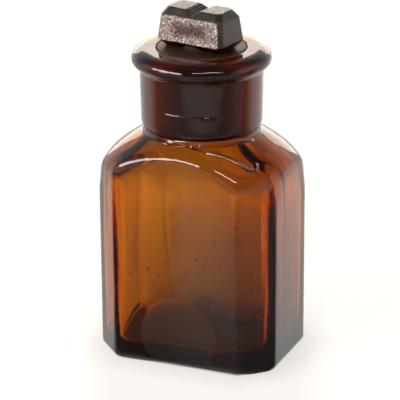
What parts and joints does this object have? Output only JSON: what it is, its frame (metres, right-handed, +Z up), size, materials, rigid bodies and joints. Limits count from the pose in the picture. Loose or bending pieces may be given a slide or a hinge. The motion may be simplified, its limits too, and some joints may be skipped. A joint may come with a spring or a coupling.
{
  "type": "glass_stoppered_bottle",
  "caption": "Small amber glass bottle with broad flat panels, cut corners, a round neck with a rolled lip, and a ground glass stopper with a notched block head.",
  "frame": {"origin": "centre of the flat base, on the surface the bottle stands on", "axes": "+Z up along the neck's axis; +X along the bottle's width; the broad front panel faces -Y"},
  "size_m": [0.0624, 0.0468, 0.1173],
  "materials": {
    "amber_glass": "fire polished clear amber soda glass, near black where thick, with small seeds",
    "ground_amber_glass": "solid dark amber glass, satin ground faces and a frosted, pebbled front"
  },
  "bodies": {
    "bottle": {"bottle": "amber_glass"},
    "stopper": {"stopper": "ground_amber_glass"}
  },
  "joints": [
    {"name": "stopper_lift", "type": "slide", "parent": "bottle", "child": "stopper", "axis": [0, 0, 1], "range_m": [0, 0.045]}
  ]
}
